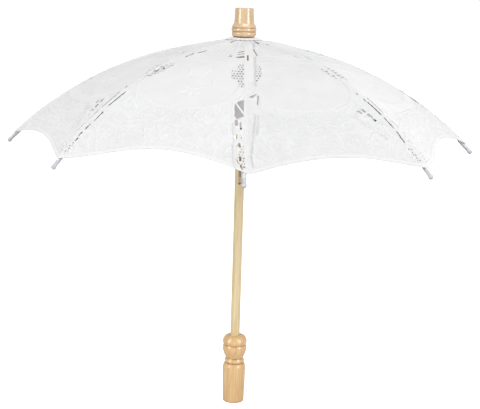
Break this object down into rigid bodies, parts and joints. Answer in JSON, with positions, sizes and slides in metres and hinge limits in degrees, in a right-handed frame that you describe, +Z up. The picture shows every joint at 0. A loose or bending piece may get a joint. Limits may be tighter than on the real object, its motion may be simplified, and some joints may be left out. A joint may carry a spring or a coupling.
{
  "type": "lace parasol",
  "caption": "Open lace parasol: wooden shaft with turned handle and finial, metal ribs and stretchers on a sliding runner, and a white openwork cloth canopy that folds down.",
  "frame": {"origin": "centre of the handle's flat foot, on the shaft's axis", "axes": "+Z up the shaft from handle to finial, -Y towards rib 0, +X completes the right-handed frame"},
  "size_m": [0.4614, 0.4614, 0.4],
  "materials": {
    "lacquered_wood": "honey coloured turned wood under clear lacquer",
    "tan_wood": "tan turned wood, satin",
    "pale_wood": "pale straight-grained wood, sanded smooth",
    "lace_cloth": "white plain-woven cotton with tape lace and cutwork",
    "dark_steel": "dark grey steel",
    "bright_steel": "bright steel wire",
    "tip_metal": "light grey painted metal",
    "grey_plastic": "light grey moulded plastic"
  },
  "bodies": {
    "stick": {"shaft": "pale_wood", "handle": "lacquered_wood", "finial": "tan_wood", "crown": "tan_wood", "crown_wire": "bright_steel", "crown_pin": "bright_steel", "canopy_cap": "lace_cloth"},
    "runner": {"runner": "grey_plastic", "runner_wire": "bright_steel"},
    "catch": {"catch_spring": "bright_steel"},
    "rib_0": {"rib_0": "dark_steel", "rib_tip_0": "tip_metal"},
    "stretcher_0": {"stretcher_0": "dark_steel", "rivet_0": "bright_steel"},
    "panel_0_ahead": {"gore_0_ahead": "lace_cloth"},
    "panel_0_behind": {"gore_0_behind": "lace_cloth"},
    "rib_1": {"rib_1": "dark_steel", "rib_tip_1": "tip_metal"},
    "stretcher_1": {"stretcher_1": "dark_steel", "rivet_1": "bright_steel"},
    "panel_1_ahead": {"gore_1_ahead": "lace_cloth"},
    "panel_1_behind": {"gore_1_behind": "lace_cloth"},
    "rib_2": {"rib_2": "dark_steel", "rib_tip_2": "tip_metal"},
    "stretcher_2": {"stretcher_2": "dark_steel", "rivet_2": "bright_steel"},
    "panel_2_ahead": {"gore_2_ahead": "lace_cloth"},
    "panel_2_behind": {"gore_2_behind": "lace_cloth"},
    "rib_3": {"rib_3": "dark_steel", "rib_tip_3": "tip_metal"},
    "stretcher_3": {"stretcher_3": "dark_steel", "rivet_3": "bright_steel"},
    "panel_3_ahead": {"gore_3_ahead": "lace_cloth"},
    "panel_3_behind": {"gore_3_behind": "lace_cloth"},
    "rib_4": {"rib_4": "dark_steel", "rib_tip_4": "tip_metal"},
    "stretcher_4": {"stretcher_4": "dark_steel", "rivet_4": "bright_steel"},
    "panel_4_ahead": {"gore_4_ahead": "lace_cloth"},
    "panel_4_behind": {"gore_4_behind": "lace_cloth"},
    "rib_5": {"rib_5": "dark_steel", "rib_tip_5": "tip_metal"},
    "stretcher_5": {"stretcher_5": "dark_steel", "rivet_5": "bright_steel"},
    "panel_5_ahead": {"gore_5_ahead": "lace_cloth"},
    "panel_5_behind": {"gore_5_behind": "lace_cloth"},
    "rib_6": {"rib_6": "dark_steel", "rib_tip_6": "tip_metal"},
    "stretcher_6": {"stretcher_6": "dark_steel", "rivet_6": "bright_steel"},
    "panel_6_ahead": {"gore_6_ahead": "lace_cloth"},
    "panel_6_behind": {"gore_6_behind": "lace_cloth"},
    "rib_7": {"rib_7": "dark_steel", "rib_tip_7": "tip_metal"},
    "stretcher_7": {"stretcher_7": "dark_steel", "rivet_7": "bright_steel"},
    "panel_7_ahead": {"gore_7_ahead": "lace_cloth"},
    "panel_7_behind": {"gore_7_behind": "lace_cloth"}
  },
  "joints": [
    {"name": "runner_slide", "type": "slide", "parent": "stick", "child": "runner", "axis": [0, 0, -1], "range_m": [0, 0.13712], "deforming": ["catch_spring"]},
    {"name": "catch_press", "type": "hinge", "parent": "stick", "child": "catch", "pos_m": [0, -0.003, 0.228], "axis": [-1, 0, 0], "range_deg": [0, 3.2], "stiffness_Nm_per_rad": 0.3},
    {"name": "rib_0_fold", "type": "hinge", "parent": "stick", "child": "rib_0", "pos_m": [0, -0.011, 0.3665], "axis": [1, 0, 0], "range_deg": [0, 63.5]},
    {"name": "stretcher_0_fold", "type": "hinge", "parent": "rib_0", "child": "stretcher_0", "pos_m": [0, -0.09887, 0.34831], "axis": [-1, 0, 0], "range_deg": [0, 127]},
    {"name": "panel_0_ahead_pleat", "type": "hinge", "parent": "rib_0", "child": "panel_0_ahead", "pos_m": [0, -0.01079, 0.36351], "axis": [0, -0.9182, -0.3962], "range_deg": [0, 62], "deforming": ["gore_0_ahead"]},
    {"name": "panel_0_behind_pleat", "type": "hinge", "parent": "rib_0", "child": "panel_0_behind", "pos_m": [0, -0.01079, 0.36351], "axis": [0, 0.9182, 0.3962], "range_deg": [0, 62], "deforming": ["gore_0_behind"]},
    {"name": "rib_1_fold", "type": "hinge", "parent": "stick", "child": "rib_1", "pos_m": [0.00778, -0.00778, 0.3665], "axis": [0.7071, 0.7071, 0], "range_deg": [0, 63.5]},
    {"name": "stretcher_1_fold", "type": "hinge", "parent": "rib_1", "child": "stretcher_1", "pos_m": [0.06991, -0.06991, 0.34831], "axis": [-0.7071, -0.7071, 0], "range_deg": [0, 127]},
    {"name": "panel_1_ahead_pleat", "type": "hinge", "parent": "rib_1", "child": "panel_1_ahead", "pos_m": [0.00763, -0.00763, 0.36351], "axis": [0.6492, -0.6492, -0.3962], "range_deg": [0, 62], "deforming": ["gore_1_ahead"]},
    {"name": "panel_1_behind_pleat", "type": "hinge", "parent": "rib_1", "child": "panel_1_behind", "pos_m": [0.00763, -0.00763, 0.36351], "axis": [-0.6492, 0.6492, 0.3962], "range_deg": [0, 62], "deforming": ["gore_1_behind"]},
    {"name": "rib_2_fold", "type": "hinge", "parent": "stick", "child": "rib_2", "pos_m": [0.011, 0, 0.3665], "axis": [0, 1, 0], "range_deg": [0, 63.5]},
    {"name": "stretcher_2_fold", "type": "hinge", "parent": "rib_2", "child": "stretcher_2", "pos_m": [0.09887, 0, 0.34831], "axis": [0, -1, 0], "range_deg": [0, 127]},
    {"name": "panel_2_ahead_pleat", "type": "hinge", "parent": "rib_2", "child": "panel_2_ahead", "pos_m": [0.01079, 0, 0.36351], "axis": [0.9182, 0, -0.3962], "range_deg": [0, 62], "deforming": ["gore_2_ahead"]},
    {"name": "panel_2_behind_pleat", "type": "hinge", "parent": "rib_2", "child": "panel_2_behind", "pos_m": [0.01079, 0, 0.36351], "axis": [-0.9182, 0, 0.3962], "range_deg": [0, 62], "deforming": ["gore_2_behind"]},
    {"name": "rib_3_fold", "type": "hinge", "parent": "stick", "child": "rib_3", "pos_m": [0.00778, 0.00778, 0.3665], "axis": [-0.7071, 0.7071, 0], "range_deg": [0, 63.5]},
    {"name": "stretcher_3_fold", "type": "hinge", "parent": "rib_3", "child": "stretcher_3", "pos_m": [0.06991, 0.06991, 0.34831], "axis": [0.7071, -0.7071, 0], "range_deg": [0, 127]},
    {"name": "panel_3_ahead_pleat", "type": "hinge", "parent": "rib_3", "child": "panel_3_ahead", "pos_m": [0.00763, 0.00763, 0.36351], "axis": [0.6492, 0.6492, -0.3962], "range_deg": [0, 62], "deforming": ["gore_3_ahead"]},
    {"name": "panel_3_behind_pleat", "type": "hinge", "parent": "rib_3", "child": "panel_3_behind", "pos_m": [0.00763, 0.00763, 0.36351], "axis": [-0.6492, -0.6492, 0.3962], "range_deg": [0, 62], "deforming": ["gore_3_behind"]},
    {"name": "rib_4_fold", "type": "hinge", "parent": "stick", "child": "rib_4", "pos_m": [0, 0.011, 0.3665], "axis": [-1, 0, 0], "range_deg": [0, 63.5]},
    {"name": "stretcher_4_fold", "type": "hinge", "parent": "rib_4", "child": "stretcher_4", "pos_m": [0, 0.09887, 0.34831], "axis": [1, 0, 0], "range_deg": [0, 127]},
    {"name": "panel_4_ahead_pleat", "type": "hinge", "parent": "rib_4", "child": "panel_4_ahead", "pos_m": [0, 0.01079, 0.36351], "axis": [0, 0.9182, -0.3962], "range_deg": [0, 62], "deforming": ["gore_4_ahead"]},
    {"name": "panel_4_behind_pleat", "type": "hinge", "parent": "rib_4", "child": "panel_4_behind", "pos_m": [0, 0.01079, 0.36351], "axis": [0, -0.9182, 0.3962], "range_deg": [0, 62], "deforming": ["gore_4_behind"]},
    {"name": "rib_5_fold", "type": "hinge", "parent": "stick", "child": "rib_5", "pos_m": [-0.00778, 0.00778, 0.3665], "axis": [-0.7071, -0.7071, 0], "range_deg": [0, 63.5]},
    {"name": "stretcher_5_fold", "type": "hinge", "parent": "rib_5", "child": "stretcher_5", "pos_m": [-0.06991, 0.06991, 0.34831], "axis": [0.7071, 0.7071, 0], "range_deg": [0, 127]},
    {"name": "panel_5_ahead_pleat", "type": "hinge", "parent": "rib_5", "child": "panel_5_ahead", "pos_m": [-0.00763, 0.00763, 0.36351], "axis": [-0.6492, 0.6492, -0.3962], "range_deg": [0, 62], "deforming": ["gore_5_ahead"]},
    {"name": "panel_5_behind_pleat", "type": "hinge", "parent": "rib_5", "child": "panel_5_behind", "pos_m": [-0.00763, 0.00763, 0.36351], "axis": [0.6492, -0.6492, 0.3962], "range_deg": [0, 62], "deforming": ["gore_5_behind"]},
    {"name": "rib_6_fold", "type": "hinge", "parent": "stick", "child": "rib_6", "pos_m": [-0.011, 0, 0.3665], "axis": [0, -1, 0], "range_deg": [0, 63.5]},
    {"name": "stretcher_6_fold", "type": "hinge", "parent": "rib_6", "child": "stretcher_6", "pos_m": [-0.09887, 0, 0.34831], "axis": [0, 1, 0], "range_deg": [0, 127]},
    {"name": "panel_6_ahead_pleat", "type": "hinge", "parent": "rib_6", "child": "panel_6_ahead", "pos_m": [-0.01079, 0, 0.36351], "axis": [-0.9182, 0, -0.3962], "range_deg": [0, 62], "deforming": ["gore_6_ahead"]},
    {"name": "panel_6_behind_pleat", "type": "hinge", "parent": "rib_6", "child": "panel_6_behind", "pos_m": [-0.01079, 0, 0.36351], "axis": [0.9182, 0, 0.3962], "range_deg": [0, 62], "deforming": ["gore_6_behind"]},
    {"name": "rib_7_fold", "type": "hinge", "parent": "stick", "child": "rib_7", "pos_m": [-0.00778, -0.00778, 0.3665], "axis": [0.7071, -0.7071, 0], "range_deg": [0, 63.5]},
    {"name": "stretcher_7_fold", "type": "hinge", "parent": "rib_7", "child": "stretcher_7", "pos_m": [-0.06991, -0.06991, 0.34831], "axis": [-0.7071, 0.7071, 0], "range_deg": [0, 127]},
    {"name": "panel_7_ahead_pleat", "type": "hinge", "parent": "rib_7", "child": "panel_7_ahead", "pos_m": [-0.00763, -0.00763, 0.36351], "axis": [-0.6492, -0.6492, -0.3962], "range_deg": [0, 62], "deforming": ["gore_7_ahead"]},
    {"name": "panel_7_behind_pleat", "type": "hinge", "parent": "rib_7", "child": "panel_7_behind", "pos_m": [-0.00763, -0.00763, 0.36351], "axis": [0.6492, 0.6492, 0.3962], "range_deg": [0, 62], "deforming": ["gore_7_behind"]}
  ],
  "couplings": [
    {"joint": "rib_0_fold", "follows": "runner_slide", "rad_per_m": 8.0825},
    {"joint": "stretcher_0_fold", "follows": "runner_slide", "rad_per_m": 16.165},
    {"joint": "panel_0_ahead_pleat", "follows": "runner_slide", "rad_per_m": 7.8916},
    {"joint": "panel_0_behind_pleat", "follows": "runner_slide", "rad_per_m": 7.8916},
    {"joint": "rib_1_fold", "follows": "runner_slide", "rad_per_m": 8.0825},
    {"joint": "stretcher_1_fold", "follows": "runner_slide", "rad_per_m": 16.165},
    {"joint": "panel_1_ahead_pleat", "follows": "runner_slide", "rad_per_m": 7.8916},
    {"joint": "panel_1_behind_pleat", "follows": "runner_slide", "rad_per_m": 7.8916},
    {"joint": "rib_2_fold", "follows": "runner_slide", "rad_per_m": 8.0825},
    {"joint": "stretcher_2_fold", "follows": "runner_slide", "rad_per_m": 16.165},
    {"joint": "panel_2_ahead_pleat", "follows": "runner_slide", "rad_per_m": 7.8916},
    {"joint": "panel_2_behind_pleat", "follows": "runner_slide", "rad_per_m": 7.8916},
    {"joint": "rib_3_fold", "follows": "runner_slide", "rad_per_m": 8.0825},
    {"joint": "stretcher_3_fold", "follows": "runner_slide", "rad_per_m": 16.165},
    {"joint": "panel_3_ahead_pleat", "follows": "runner_slide", "rad_per_m": 7.8916},
    {"joint": "panel_3_behind_pleat", "follows": "runner_slide", "rad_per_m": 7.8916},
    {"joint": "rib_4_fold", "follows": "runner_slide", "rad_per_m": 8.0825},
    {"joint": "stretcher_4_fold", "follows": "runner_slide", "rad_per_m": 16.165},
    {"joint": "panel_4_ahead_pleat", "follows": "runner_slide", "rad_per_m": 7.8916},
    {"joint": "panel_4_behind_pleat", "follows": "runner_slide", "rad_per_m": 7.8916},
    {"joint": "rib_5_fold", "follows": "runner_slide", "rad_per_m": 8.0825},
    {"joint": "stretcher_5_fold", "follows": "runner_slide", "rad_per_m": 16.165},
    {"joint": "panel_5_ahead_pleat", "follows": "runner_slide", "rad_per_m": 7.8916},
    {"joint": "panel_5_behind_pleat", "follows": "runner_slide", "rad_per_m": 7.8916},
    {"joint": "rib_6_fold", "follows": "runner_slide", "rad_per_m": 8.0825},
    {"joint": "stretcher_6_fold", "follows": "runner_slide", "rad_per_m": 16.165},
    {"joint": "panel_6_ahead_pleat", "follows": "runner_slide", "rad_per_m": 7.8916},
    {"joint": "panel_6_behind_pleat", "follows": "runner_slide", "rad_per_m": 7.8916},
    {"joint": "rib_7_fold", "follows": "runner_slide", "rad_per_m": 8.0825},
    {"joint": "stretcher_7_fold", "follows": "runner_slide", "rad_per_m": 16.165},
    {"joint": "panel_7_ahead_pleat", "follows": "runner_slide", "rad_per_m": 7.8916},
    {"joint": "panel_7_behind_pleat", "follows": "runner_slide", "rad_per_m": 7.8916}
  ]
}
